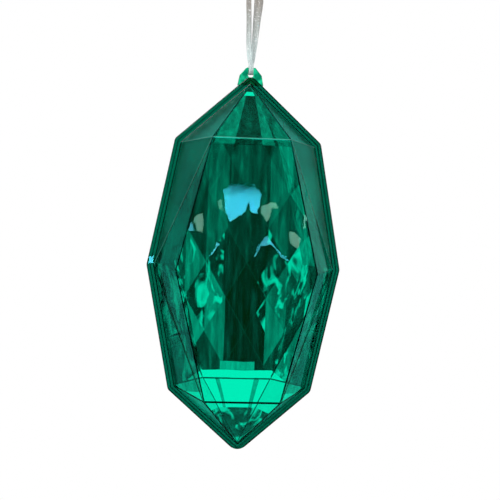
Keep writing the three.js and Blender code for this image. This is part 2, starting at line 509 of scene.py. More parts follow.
@dataclass
class Jewel:
    """The sizes of both half shells, in the jewel's own frame: X, depth from the seam, Z from the waist."""

    half_height: float = 103 * MM
    shoulder_height: float = 68 * MM
    shoulder_half_width: float = 39.2 * MM
    waist_half_width: float = 52.5 * MM
    table_depth: float = 27 * MM
    table_shoulder_half_width: float = 20 * MM
    table_waist_half_width: float = 36.5 * MM
    rim_width: float = 3.8 * MM
    rim_thickness: float = 1.6 * MM
    groove_inset: float = 1.9 * MM
    apex_radius: float = 4 * MM
    tip_radius: float = 6.5 * MM
    corner_radius: float = 4 * MM
    wall: float = 0.9 * MM
    hollow_trim: float = 0.55 * MM
    seam_gap: float = 0.04 * MM
    diamond_width: float = 23.5 * MM
    diamond_height: float = 40 * MM
    diamond_relief: float = 2.2 * MM

    def __post_init__(self) -> None:
        """Takes the seam's place from the frame."""
        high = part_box("front_shell")[1]
        self.seam_y = high.y
        self.waist_z = high.z - self.rim_top()

    def rim_top(self) -> float:
        """Returns the height of the rim's rounded apex above the waist."""
        apex_angle = math.atan2(self.shoulder_half_width, self.half_height - self.shoulder_height)
        return self.half_height - self.apex_radius * (1 / math.sin(apex_angle) - 1)

    def corners(self, inset: float) -> list[Vector]:
        """Gives the seam's eight corners in X and Z.

        Args:
            inset: How far each side is drawn in.

        Returns:
            The corners, clockwise from the apex.
        """
        half, shoulder = self.half_height, self.shoulder_height
        wide, waist = self.shoulder_half_width, self.waist_half_width
        right = [(0, half), (wide, shoulder), (waist, 0), (wide, -shoulder)]
        sharp = [Vector(p) for p in right + [(-x, -z) for x, z in right]]
        drawn_in = []
        for i, corner in enumerate(sharp):
            arriving = (corner - sharp[i - 1]).normalized()
            leaving = (sharp[(i + 1) % len(sharp)] - corner).normalized()
            inward = Vector((arriving.y + leaving.y, -arriving.x - leaving.x)).normalized()
            half_angle = arriving.angle(leaving) / 2
            drawn_in.append(corner + inward * inset / math.cos(half_angle))
        return drawn_in

    def outline(self, steps: int) -> list[list[Vector]]:
        """Gives the rim's outline as one arc of points for each of the eight corners.

        Args:
            steps: How many parts each arc has.

        Returns:
            The eight arcs, clockwise from the apex.
        """
        sharp = self.corners(0)
        arcs = []
        for i, corner in enumerate(sharp):
            radius = {0: self.apex_radius, 4: self.tip_radius}.get(i, self.corner_radius)
            before = (sharp[i - 1] - corner).normalized()
            after = (sharp[(i + 1) % len(sharp)] - corner).normalized()
            half_angle = before.angle(after) / 2
            centre = corner + (before + after).normalized() * radius / math.sin(half_angle)
            reach = radius / math.tan(half_angle)
            start = corner + before * reach - centre
            end = corner + after * reach - centre
            sweep = start.angle_signed(end)
            turn = [Matrix.Rotation(-sweep * step / steps, 2) for step in range(steps + 1)]
            arcs.append([centre + m @ start for m in turn])
        return arcs

    def table(self, trim: float) -> list[Vector]:
        """Gives the table's six corners in X and Z.

        Args:
            trim: How far they are drawn in.

        Returns:
            The corners, clockwise from the upper left.
        """
        shoulder, waist = self.table_shoulder_half_width - trim, self.table_waist_half_width - trim
        height = self.shoulder_height - trim
        first = [(-shoulder, height), (shoulder, height), (waist, 0)]
        return [Vector(p) for p in first + [(-x, -z) for x, z in first]]

    def place(self, x: float, depth: float, z: float, side: Side) -> Vector:
        """Turns the jewel's own X, depth and Z into a point of the row frame."""
        return Vector((x, self.seam_y + side.value * depth, self.waist_z + z))


# Each facet is named by its corners: numbers 0 to 7 are the ring's, and letters a to f the table's
FACETS = {
    "table": "afedcb",
    "top_cap": "0ab",
    "top_right": "0b1",
    "upper_right": "1b2",
    "right_up": "bc2",
    "right_down": "cd2",
    "lower_right": "2d3",
    "bottom_right": "3d4",
    "bottom_cap": "4de",
    "bottom_left": "4e5",
    "lower_left": "5e6",
    "left_down": "ef6",
    "left_up": "fa6",
    "upper_left": "6a7",
    "top_left": "7a0",
}
# The inner facets' numbers start here, so that they don't meet the outer ones'
INNER = 100
# The number of the faces that belong to no facet
NO_FACET = -1


class Slot(Enum):
    """A shell's material slots."""

    FACET = 0
    # Creases with painted shade
    PAINTED_SHADE_CREASE = 1
    # Creases with a painted highlight
    PAINTED_HIGHLIGHT_CREASE = 2
    FINE_CREASE = 3
    RIM = 4
    # The rim's edge, with painted shade
    RIM_EDGE = 5
    INSIDE = 6
    HAZY_FACET = 7


# Facets that have gone hazy
HAZY_FACETS = ("top_left", "top_right", "upper_left", "upper_right", "bottom_left", "bottom_right")

# Each crease is named by its two corners, as the facets are. The dark creases and the rim's edges get painted
# shade, the light ones a painted highlight
CREASES = {
    Slot.PAINTED_HIGHLIGHT_CREASE: ("ab", "b2", "a6", "1b", "7a"),
    Slot.FINE_CREASE: ("c2", "f6", "bc", "cd", "ef", "fa", "0a", "0b"),
    Slot.PAINTED_SHADE_CREASE: ("2d", "6e", "de", "4d", "4e", "3d", "5e"),
    Slot.RIM_EDGE: ("01", "12", "23", "34", "45", "56", "67", "70"),
}
# How wide each kind of crease is rounded, as a share of the widest
CREASE_SHARES = {Slot.PAINTED_SHADE_CREASE: 1.0, Slot.PAINTED_HIGHLIGHT_CREASE: 0.35, Slot.FINE_CREASE: 0.15, Slot.RIM_EDGE: 0.55}


@dataclass
class HalfShell:
    """One moulded half of the jewel: a faceted cup with a flat rim, hollow inside."""

    name: str
    side: Side
    jewel: Jewel
    has_diamonds: bool
    # Painted shade on the inner flanks: their share of painted light
    flank_painted_light: float = 0.42
    crease_width: float = 0.7 * MM
    crease_overlap: float = 0.01
    groove_share: float = 0.3
    crease_steps: int = 2
    outline_steps: int = 8

    def build(self, finishes: dict[Slot, bpy.types.Material]) -> bpy.types.Object:
        """Builds the shell.

        Args:
            finishes: The material of each slot.

        Returns:
            The piece.
        """
        piece = mesh_piece(self.name, self._fill)
        for slot in Slot:
            piece.data.materials.append(finishes[slot])
        rounded = piece.modifiers.new("rounded creases", "BEVEL")
        rounded.limit_method = "WEIGHT"
        rounded.width = self.crease_width
        rounded.segments = self.crease_steps
        rounded.material = Slot.PAINTED_SHADE_CREASE.value
        applied(piece)
        self._sort_creases(piece.data)
        if self.has_diamonds:
            DiamondRelief(self.jewel, self.side).raise_on(piece)
        return piece

    def plane(self, name: str) -> Plane:
        """Gives the plane of one outer facet, or of the rim.

        Args:
            name: The facet's name, or "rim".

        Returns:
            A point on the plane and its outward unit normal.
        """
        if name == "rim":
            point = self.jewel.place(0, self.jewel.rim_thickness, 0, self.side)
            return point, Vector((0, self.side.value, 0))
        first, second, third = (self._corner(letter) for letter in FACETS[name][:3])
        normal = (second - first).cross(third - first).normalized()
        outward = first - Vector((0, self.jewel.seam_y, self.jewel.waist_z))
        return first, normal if normal.dot(outward) > 0 else -normal

    def _corner(self, letter: str) -> Vector:
        """Finds one outer corner of the shell.

        Args:
            letter: The corner's number or letter.

        Returns:
            Its place in the row frame.
        """
        jewel = self.jewel
        point = self._pick(letter, jewel.corners(jewel.rim_width), jewel.table(0))
        depth = jewel.rim_thickness if letter.isdigit() else jewel.table_depth
        return jewel.place(point.x, depth, point.y, self.side)

    @staticmethod
    def _pick(letter: str, ring: Sequence[Any], table: Sequence[Any]) -> Any:
        """Picks a corner of the ring by its number, or of the table by its letter."""
        return ring[int(letter)] if letter.isdigit() else table[ord(letter) - ord("a")]

    def _sort_creases(self, mesh: bpy.types.Mesh) -> None:
        """Gives each face of a rounded crease the slot of the crease it lies on.

        Args:
            mesh: The shell with its rounded creases, all in the slot of the creases with painted shade.
        """
        lines = [
            (self._corner(first), self._corner(second), slot)
            for slot, names in CREASES.items()
            for first, second in names
        ]
        for polygon in mesh.polygons:
            if polygon.material_index != Slot.PAINTED_SHADE_CREASE.value:
                continue
            nearest = 2 * self.crease_width
            slot = Slot.RIM_EDGE
            for start, end, kind in lines:
                foot, share = intersect_point_line(polygon.center, start, end)
                gap = (polygon.center - foot).length
                if -self.crease_overlap < share < 1 + self.crease_overlap and gap < nearest:
                    nearest, slot = gap, kind
            polygon.material_index = slot.value

    def _fill(self, bm: bmesh.types.BMesh) -> None:
        """Fills a bmesh with the closed shell.

        Args:
            bm: An empty bmesh.
        """
        jewel, side = self.jewel, self.side
        region = bm.faces.layers.int.new("facet")
        painted_light = bm.faces.layers.float.new("painted_light")
        bm.faces.layers.float.new("painted_glint")
        weight = bm.edges.layers.float.new("bevel_weight_edge")

        def ring(points: Sequence[Vector], depth: float) -> list[bmesh.types.BMVert]:
            """Makes a vertex for each point in X and Z at one depth."""
            return [bm.verts.new(jewel.place(p.x, depth, p.y, side)) for p in points]

        def face(verts: Verts, slot: Slot, number: int = NO_FACET, through: float = 1.0) -> None:
            """Makes a face.

            Args:
                verts: Its corners.
                slot: Its material slot.
                number: Its facet's number.
                through: Its share of painted light.
            """
            made = bm.faces.new(verts)
            made.material_index = slot.value
            made[region], made[painted_light] = number, through

        points = [p for arc in jewel.outline(self.outline_steps) for p in arc]
        gap, ledge, inset = jewel.seam_gap, jewel.rim_thickness, jewel.rim_width + jewel.wall
        outline_low, outline_high = ring(points, gap), ring(points, ledge)
        groove_ring = ring(jewel.corners(jewel.groove_inset), ledge)
        outer_ring = ring(jewel.corners(jewel.rim_width), ledge)
        outer_table = ring(jewel.table(0), jewel.table_depth)
        inner_low, inner_ring = ring(jewel.corners(inset), gap), ring(jewel.corners(inset), ledge)
        inner_table = ring(jewel.table(jewel.hollow_trim), jewel.table_depth - jewel.wall)

        def fan(outline: Verts, hub: Verts) -> None:
            """Fills the flat strip of the rim between its rounded outline and a ring of eight corners.

            Args:
                outline: The outline's vertices, arc by arc.
                hub: The ring's vertices.
            """
            steps = self.outline_steps
            for i, corner in enumerate(hub):
                arc = outline[i * (steps + 1):(i + 1) * (steps + 1)]
                for first, second in zip(arc, arc[1:]):
                    face((corner, first, second), Slot.RIM)
                following = outline[(i + 1) * (steps + 1) % len(outline)]
                face((corner, arc[-1], following, hub[(i + 1) % len(hub)]), Slot.RIM)

        def wall_of(low: Verts, high: Verts, slot: Slot) -> None:
            """Joins two rings of as many vertices by a band of faces.

            Args:
                low: The one ring.
                high: The other ring.
                slot: The faces' material slot.
            """
            for i, first in enumerate(low):
                j = (i + 1) % len(low)
                face((first, low[j], high[j], high[i]), slot)

        fan(outline_low, inner_low)
        wall_of(outline_low, outline_high, Slot.RIM_EDGE)
        fan(outline_high, groove_ring)
        wall_of(groove_ring, outer_ring, Slot.RIM)
        wall_of(inner_low, inner_ring, Slot.INSIDE)
        for number, (name, corners) in enumerate(FACETS.items()):
            outer = [self._pick(letter, outer_ring, outer_table) for letter in corners]
            inner = [self._pick(letter, inner_ring, inner_table) for letter in reversed(corners)]
            is_flank = "left" in name or "right" in name
            face(outer, Slot.HAZY_FACET if name in HAZY_FACETS else Slot.FACET, number)
            face(inner, Slot.INSIDE, INNER + number, self.flank_painted_light if is_flank else 1.0)
        bmesh.ops.recalc_face_normals(bm, faces=bm.faces)
        for slot, names in CREASES.items():
            for ends in names:
                edge = bm.edges.get([self._pick(letter, outer_ring, outer_table) for letter in ends])
                edge[weight] = CREASE_SHARES[slot]
        for loop, share in ((outline_high, CREASE_SHARES[Slot.RIM_EDGE]), (groove_ring, self.groove_share)):
            for first, second in zip(loop, loop[1:] + loop[:1]):
                bm.edges.get((first, second))[weight] = share
        relief = DiamondRelief(jewel, side)
        if self.has_diamonds:
            relief.score(bm)
        else:
            relief.open_foot(bm)


@dataclass(frozen=True)
class PaintedTone:
    """The painted light of a facet of the cut back: the least share, what a diamond may add, and the strength
    of its painted glints.
    """

    least: float
    spread: float
    painted_glint: float


# The painted light and painted glints of the back's inner facets
PAINTED_TONES = {
    "table": PaintedTone(0.045, 0.06, 0.0),
    "top_cap": PaintedTone(0.055, 0.03, 0.0),
    "top_right": PaintedTone(0.17, 0.1, 0.0),
    "upper_right": PaintedTone(0.17, 0.2, 0.05),
    "right_up": PaintedTone(0.1, 0.18, 0.08),
    "right_down": PaintedTone(0.02, 0.1, 0.7),
    "lower_right": PaintedTone(0.15, 0.25, 0.6),
    "bottom_right": PaintedTone(0.95, 0.05, 0.0),
    "bottom_cap": PaintedTone(0.99, 0.0, 0.0),
    "bottom_left": PaintedTone(0.95, 0.05, 0.0),
    "lower_left": PaintedTone(0.12, 0.2, 0.5),
    "left_down": PaintedTone(0.02, 0.08, 0.55),
    "left_up": PaintedTone(0.09, 0.15, 0.05),
    "upper_left": PaintedTone(0.17, 0.2, 0.05),
    "top_left": PaintedTone(0.14, 0.1, 0.0),
}
# Halves of diamonds with painted light of their own, by the diamond's column and row from the waist and
# its left (-1) or right (1) half
PAINTED_LIGHT_HALVES = {
    (-2, -1, 1): 0.26, (-1, -2, -1): 0.22, (2, -1, -1): 0.17, (1, -2, 1): 0.24, (3, -2, -1): 0.12,
    (-2, 1, 1): 0.13, (-1, 2, -1): 0.17, (2, 1, -1): 0.12, (1, 2, 1): 0.18, (-3, -2, 1): 0.3,
    (-2, 3, 1): 0.14, (2, 3, -1): 0.13, (3, 0, -1): 0.2, (-3, 0, 1): 0.2, (0, 1, -1): 0.05, (0, 1, 1): 0.035,
    (0, -1, -1): 0.012, (0, -1, 1): 0.02, (-1, 0, 1): 0.03, (1, 0, -1): 0.018, (-1, 0, -1): 0.045,
    (1, 0, 1): 0.04, (0, -3, -1): 0.02, (0, -3, 1): 0.03, (-1, -2, 1): 0.025, (1, -2, -1): 0.02,
}


@dataclass
class DiamondRelief:
    """The cut on a shell's inner face: low diamonds in staggered rows, plain wedges at both ends, and light
    and shade painted on the parts.
    """

    jewel: Jewel
    side: Side
    footed: tuple[str, ...] = ("left_down", "right_down", "lower_left", "lower_right")
    raised_too: tuple[str, ...] = ("table", "left_up", "right_up")
    phase: float = 3.5 * MM
    lattice_reach: int = 12
    cut_tolerance: float = 0.001 * MM
    # Painted shade: a darker core on the table
    core_place: tuple[float, float] = (4 * MM, -17 * MM)
    core_size: tuple[float, float] = (24 * MM, 46 * MM)
    core_painted_light: float = 0.22
    core_edge: float = 0.35
    core_fade: float = 1.1
    # Painted light at the foot, and a paler painted band above it
    foot_height: float = 62.7 * MM
    foot_band_height: float = 57.5 * MM
    foot_band_half_width: float = 10 * MM
    foot_band_painted_light: float = 0.45
    foot_slope: float = 0.4
    foot_painted_light: float = 0.95
    # A painted glint: a clear band on the top cap
    glint_heights: tuple[float, float] = (92.3 * MM, 94.2 * MM)
    glint_painted_light: float = 0.95
    # Painted lighter stripes in the wedges at both ends
    top_wedges: tuple[float, ...] = (-0.9, -0.3, 0.5, 0.85)
    top_wedge_painted_light: float = 0.26
    bottom_wedges: tuple[float, ...] = (-0.62, -0.5, 0.5, 0.66)
    bottom_wedge_painted_light: float = 0.45
    # Painted shade and painted glints below the tip's height
    tip_height: float = 81 * MM
    tip_painted_light: float = 0.07
    tip_painted_glint: float = 0.6
    # Painted glints on the table's sides near the waist
    painted_glint_from: float = 13 * MM
    painted_glint_heights: tuple[float, float] = (-30 * MM, 8 * MM)
    table_painted_glint: float = 0.6
    rng: random.Random = field(default_factory=lambda: random.Random(SEED))
    draws: dict[tuple[int, int, int], float] = field(default_factory=dict)

    def score(self, bm: bmesh.types.BMesh) -> None:
        """Cuts the inner facets along the sides and the diagonals of the diamonds, and paints light and shade
        on the parts.

        Args:
            bm: The shell's bmesh. Its layer "facet" numbers the facets.
        """
        region = bm.faces.layers.int["facet"]
        painted_light, painted_glint = (bm.faces.layers.float[name] for name in ("painted_light", "painted_glint"))
        names = dict(enumerate(FACETS, INNER))
        for number, name in names.items():
            self._cut(bm, number, self._cuts(name))
        inner = [f for f in bm.faces if f[region] in names]
        bmesh.ops.triangulate(bm, faces=[f for f in inner if len(f.verts) > 3])
        mask = bm.verts.layers.float.new("relief_mask")
        inward = bm.verts.layers.float_vector.new("relief_inward")
        for f in bm.faces:
            if f[region] in names:
                centre = f.calc_center_median()
                f[painted_light] = self.painted_light(centre, names[f[region]])
                f[painted_glint] = self.painted_glint(centre, names[f[region]])
        for v in bm.verts:
            regions = {f[region] for f in v.link_faces}
            if len(regions) == 1 and names.get(min(regions)) in self.footed + self.raised_too:
                v[mask] = 1.0
                v[inward] = v.link_faces[0].normal

    def open_foot(self, bm: bmesh.types.BMesh) -> None:
        """Gives the inner flanks of a plain shell full painted light at the foot.

        Args:
            bm: The shell's bmesh. Its layer "facet" numbers the facets.
        """
        region, painted_light = bm.faces.layers.int["facet"], bm.faces.layers.float["painted_light"]
        for number, name in enumerate(FACETS, INNER):
            if name in self.footed:
                self._cut(bm, number, [self._foot_cut(name)])
            for f in bm.faces:
                centre = f.calc_center_median()
                if f[region] == number and self._in_foot(centre.x, centre.z - self.jewel.waist_z):
                    f[painted_light] = 1.0

    def _cuts(self, name: str) -> list[Plane]:
        """Gives the planes that cut one facet.

        Args:
            name: The facet's name.

        Returns:
            A point and a normal for each plane, in the order of the cuts.
        """
        if name == "top_cap":
            return self._fan_cuts(1, self.top_wedges) + [self._level(height) for height in self.glint_heights]
        if name == "bottom_cap":
            return self._fan_cuts(-1, self.bottom_wedges) + [self._level(-self.tip_height)]
        cuts = self._lattice()
        if name == "table":
            cuts += [self._level(-self.foot_height), self._level(-self.foot_band_height)]
            sides = (-self.foot_band_half_width, self.foot_band_half_width)
            cuts += [(self.jewel.place(x, 0, 0, self.side), Vector((1, 0, 0))) for x in sides]
        elif name in self.footed:
            cuts.append(self._foot_cut(name))
        elif name.startswith("bottom"):
            cuts.append(self._level(-self.tip_height))
        return cuts

    def _level(self, height: float) -> Plane:
        """Gives the level plane at one height from the waist."""
        return self.jewel.place(0, 0, height, self.side), Vector((0, 0, 1))

    def _lattice(self) -> list[Plane]:
        """Gives the planes through the diamonds' diagonals and sides.

        Returns:
            A point and a normal for each plane.
        """
        half_width, half_height = self.jewel.diamond_width / 2, self.jewel.diamond_height / 2
        across, up = 1 / half_width, 1 / half_height
        origin = self.jewel.place(self.phase, 0, 0, self.side)
        lattice: list[Plane] = []
        for k in range(-self.lattice_reach, self.lattice_reach + 1):
            start = origin + Vector((k * half_width, 0, 0))
            lattice.append((start, Vector((1, 0, 0))))
            lattice.append((origin + Vector((0, 0, k * half_height)), Vector((0, 0, 1))))
            if k % 2 == 0:
                lattice += [(start, Vector((across, 0, rise)).normalized()) for rise in (up, -up)]
        return lattice

    def _fan_cuts(self, sign: int, shares: Sequence[float]) -> list[Plane]:
        """Gives the planes that fan out from one end of the jewel.

        Args:
            sign: 1 for the apex, -1 for the tip.
            shares: Where each plane meets the table's edge, as a share of the edge's half width.

        Returns:
            A point and a normal for each plane.
        """
        jewel = self.jewel
        apex = jewel.place(0, 0, sign * jewel.half_height, self.side)
        drop = sign * (jewel.half_height - jewel.shoulder_height)
        base = jewel.table_shoulder_half_width
        return [(apex, Vector((drop, 0, base * share)).normalized()) for share in shares]

    def _foot_cut(self, name: str) -> Plane:
        """Gives the plane that bounds the foot's painted light on one flank.

        Args:
            name: The flank's name.

        Returns:
            A point on the plane and its normal.
        """
        sign = 1 if "right" in name else -1
        start = self.jewel.place(sign * self.jewel.table_shoulder_half_width, 0, -self.foot_height, self.side)
        return start, Vector((sign * self.foot_slope, 0, 1)).normalized()

    def _in_foot(self, x: float, z: float) -> bool:
        """Says whether a place on the flanks lies in the foot's painted light."""
        beyond = abs(x) - self.jewel.table_shoulder_half_width
        return z < -self.foot_height - self.foot_slope * beyond

    def _cut(self, bm: bmesh.types.BMesh, number: int, cuts: Sequence[Plane]) -> None:
        """Cuts the faces of one facet along planes.

        Args:
            bm: The shell's bmesh.
            number: The facet's number.
            cuts: A point and a normal for each plane.
        """
        region = bm.faces.layers.int["facet"]
        for point, normal in cuts:
            faces = [f for f in bm.faces if f[region] == number]
            geometry = set(faces)
            for f in faces:
                geometry.update(f.edges)
                geometry.update(f.verts)
            bmesh.ops.bisect_plane(
                bm, geom=list(geometry), dist=self.cut_tolerance, plane_co=point, plane_no=normal
            )

    def painted_glint(self, centre: Vector, facet: str) -> float:
        """Says how strong the painted glints are on one small face of the cut.

        Args:
            centre: The face's centre.
            facet: The name of its facet.

        Returns:
            The strength of the painted glints, from 0 to 1.
        """
        low, high = self.painted_glint_heights
        z = centre.z - self.jewel.waist_z
        if z < -self.tip_height:
            return self.tip_painted_glint
        if facet == "table" and low < z < high and abs(centre.x) > self.painted_glint_from:
            return self.table_painted_glint
        return PAINTED_TONES[facet].painted_glint

    def painted_light(self, centre: Vector, facet: str) -> float:
        """Says how much painted light one small face of the cut gets.

        Args:
            centre: The face's centre.
            facet: The name of its facet.

        Returns:
            The share of painted light, from 0 to 1.
        """
        jewel, tone = self.jewel, PAINTED_TONES[facet]
        x, z = centre.x, centre.z - jewel.waist_z
        # Painted shade below the tip's height, a painted glint band under the apex and painted light at the
        # foot
        if z < -self.tip_height:
            return self.tip_painted_light
        if facet == "top_cap" and self.glint_heights[0] < z < self.glint_heights[1]:
            return self.glint_painted_light
        if facet in self.footed and self._in_foot(x, z):
            return self.foot_painted_light
        if facet in ("top_cap", "bottom_cap"):
            fan = x / jewel.table_shoulder_half_width
            fan *= (jewel.half_height - jewel.shoulder_height) / (jewel.half_height - abs(z))
            wedges, inside = self.bottom_wedges, self.bottom_wedge_painted_light
            if facet == "top_cap":
                wedges, inside = self.top_wedges, self.top_wedge_painted_light
            low, middle_low, middle_high, high = wedges
            return inside if low < fan < middle_low or middle_high < fan < high else tone.least
        half, draw = self._half_at(x, z)
        if facet != "table":
            return tone.least + tone.spread * draw * draw
        # Painted light at the foot of the table
        if z < -self.foot_height:
            return PAINTED_TONES["bottom_cap"].least
        if z < -self.foot_band_height and abs(x) < self.foot_band_half_width:
            return self.foot_band_painted_light
        if half in PAINTED_LIGHT_HALVES:
            return PAINTED_LIGHT_HALVES[half]
        # Painted shade: a darker core on the table
        depth = sum(((a - b) / c) ** 2 for a, b, c in zip((x, z), self.core_place, self.core_size))
        share = min(max((depth - self.core_edge) / self.core_fade, 0.0), 1.0)
        return (self.core_painted_light + (1 - self.core_painted_light) * share) * (tone.least + tone.spread * draw)

    def _half_at(self, x: float, z: float) -> tuple[tuple[int, int, int], float]:
        """Finds the half of a diamond at a place, and draws for it when it is new.

        Args:
            x: The place's X.
            z: Its height from the waist.

        Returns:
            The diamond's column and row and its half, and what the half has drawn.
        """
        u, v = (x - self.phase) / (self.jewel.diamond_width / 2), z / (self.jewel.diamond_height / 2)
        p, q = 2 * math.floor((u + v) / 2) + 1, 2 * math.floor((u - v) / 2) + 1
        column, row = (p + q) // 2, (p - q) // 2
        half = (column, row, 1 if u > column else -1)
        if half not in self.draws:
            self.draws[half] = self.rng.random()
        return half, self.draws[half]

    def raise_on(self, piece: bpy.types.Object) -> None:
        """Raises the diamonds on a scored piece by a Geometry Nodes tree.

        Args:
            piece: The shell, which carries the attributes "relief_mask" and "relief_inward".
        """
        jewel = self.jewel
        nodes = GeometryTree("diamond relief", {
            "Relief": jewel.diamond_relief,
            "Diamond Width": jewel.diamond_width,
            "Diamond Height": jewel.diamond_height,
            "Phase": self.phase,
            "Waist Height": jewel.waist_z,
        })
        position = nodes.add("GeometryNodeInputPosition")[0]
        halves = []
        for axis, start, size in (("X", "Phase", "Diamond Width"), ("Z", "Waist Height", "Diamond Height")):
            away = nodes.maths("SUBTRACT", nodes.axis(position, axis), nodes.inputs[start])
            halves.append(nodes.maths("DIVIDE", nodes.maths("MULTIPLY", away, 2.0), nodes.inputs[size]))
        far = []
        for operation in ("ADD", "SUBTRACT"):
            wrapped = nodes.maths("FLOORED_MODULO", nodes.maths(operation, *halves), 2.0)
            far.append(nodes.maths("ABSOLUTE", nodes.maths("SUBTRACT", wrapped, 1.0)))
        farthest = nodes.maths("MAXIMUM", *far)
        height = nodes.maths("SUBTRACT", 1.0, farthest, clamp=True)
        mask = nodes.named("relief_mask")
        lift = nodes.maths("MULTIPLY", nodes.maths("MULTIPLY", height, mask), nodes.inputs["Relief"])
        inward = {0: nodes.named("relief_inward", "FLOAT_VECTOR"), "Scale": lift}
        offset = nodes.add("ShaderNodeVectorMath", inward, operation="SCALE")[0]
        mesh = nodes.inputs["Geometry"]
        moved = nodes.add("GeometryNodeSetPosition", {"Geometry": mesh, "Offset": offset})[0]
        # How near each point is to the diamonds' edges, for the painted ridge highlights
        ridged = nodes.stored(moved, "ridge", nodes.maths("MULTIPLY", farthest, mask))
        compared = {2: nodes.add("GeometryNodeInputMaterialIndex")[0], 3: Slot.INSIDE.value}
        is_cut = nodes.add("FunctionNodeCompare", compared, data_type="INT", operation="EQUAL")[0]
        nodes.end(ridged, is_cut)
        nodes.put_on(piece, piece.data.materials[Slot.INSIDE.value])
        applied(piece)


# The camera, from the photograph


@dataclass
class PhotoCamera:
    """The photograph's camera, found from the corners of the jewel's outline in the picture."""

    focal_pixels: float = 800
    photo_side: float = 500
    turn_deg: float = 4.29
    tilt_deg: float = 4.30
    roll_deg: float = 2.14
    distance: float = 435 * MM
    shift_right: float = 3.41 * MM
    shift_up: float = 9.23 * MM
    sensor: float = 36
    nearest: float = 10 * MM
    farthest: float = 20

    def axes(self) -> tuple[Vector, Vector, Vector]:
        """Works out the camera's directions.

        Returns:
            Right, up and forward, each one unit long.
        """
        turn, tilt, roll = (math.radians(a) for a in (self.turn_deg, self.tilt_deg, self.roll_deg))
        forward = Vector((math.cos(tilt) * math.sin(turn), math.cos(tilt) * math.cos(turn), -math.sin(tilt)))
        level = Vector((math.cos(turn), -math.sin(turn), 0))
        upright = level.cross(forward)
        right = level * math.cos(roll) + upright * math.sin(roll)
        up = upright * math.cos(roll) - level * math.sin(roll)
        return right, up, forward

    def place(self, target: Vector) -> Vector:
        """Returns the camera's place, for a target near the middle of the picture."""
        right, up, forward = self.axes()
        return target + right * self.shift_right + up * self.shift_up - forward * self.distance

    def ray(self, pixel: Pixel) -> Vector:
        """Finds the direction from the camera through one pixel.

        Args:
            pixel: Its column and row in the photograph.

        Returns:
            The direction, one unit long in depth.
        """
        right, up, forward = self.axes()
        half = self.photo_side / 2
        return forward + (right * (pixel[0] - half) + up * (half - pixel[1])) / self.focal_pixels

    def build(self, target: Vector) -> None:
        """Makes the scene's camera.

        Args:
            target: The jewel's centre.
        """
        data = bpy.data.cameras.new("camera")
        data.sensor_width = self.sensor
        data.lens = self.sensor * self.focal_pixels / self.photo_side
        data.clip_start, data.clip_end = self.nearest, self.farthest
        camera = new_object("camera", data)
        right, up, forward = self.axes()
        rotation = Matrix((right, up, -forward)).transposed().to_4x4()
        camera.matrix_world = Matrix.Translation(self.place(target)) @ rotation
        bpy.context.scene.camera = camera


# The ribbon


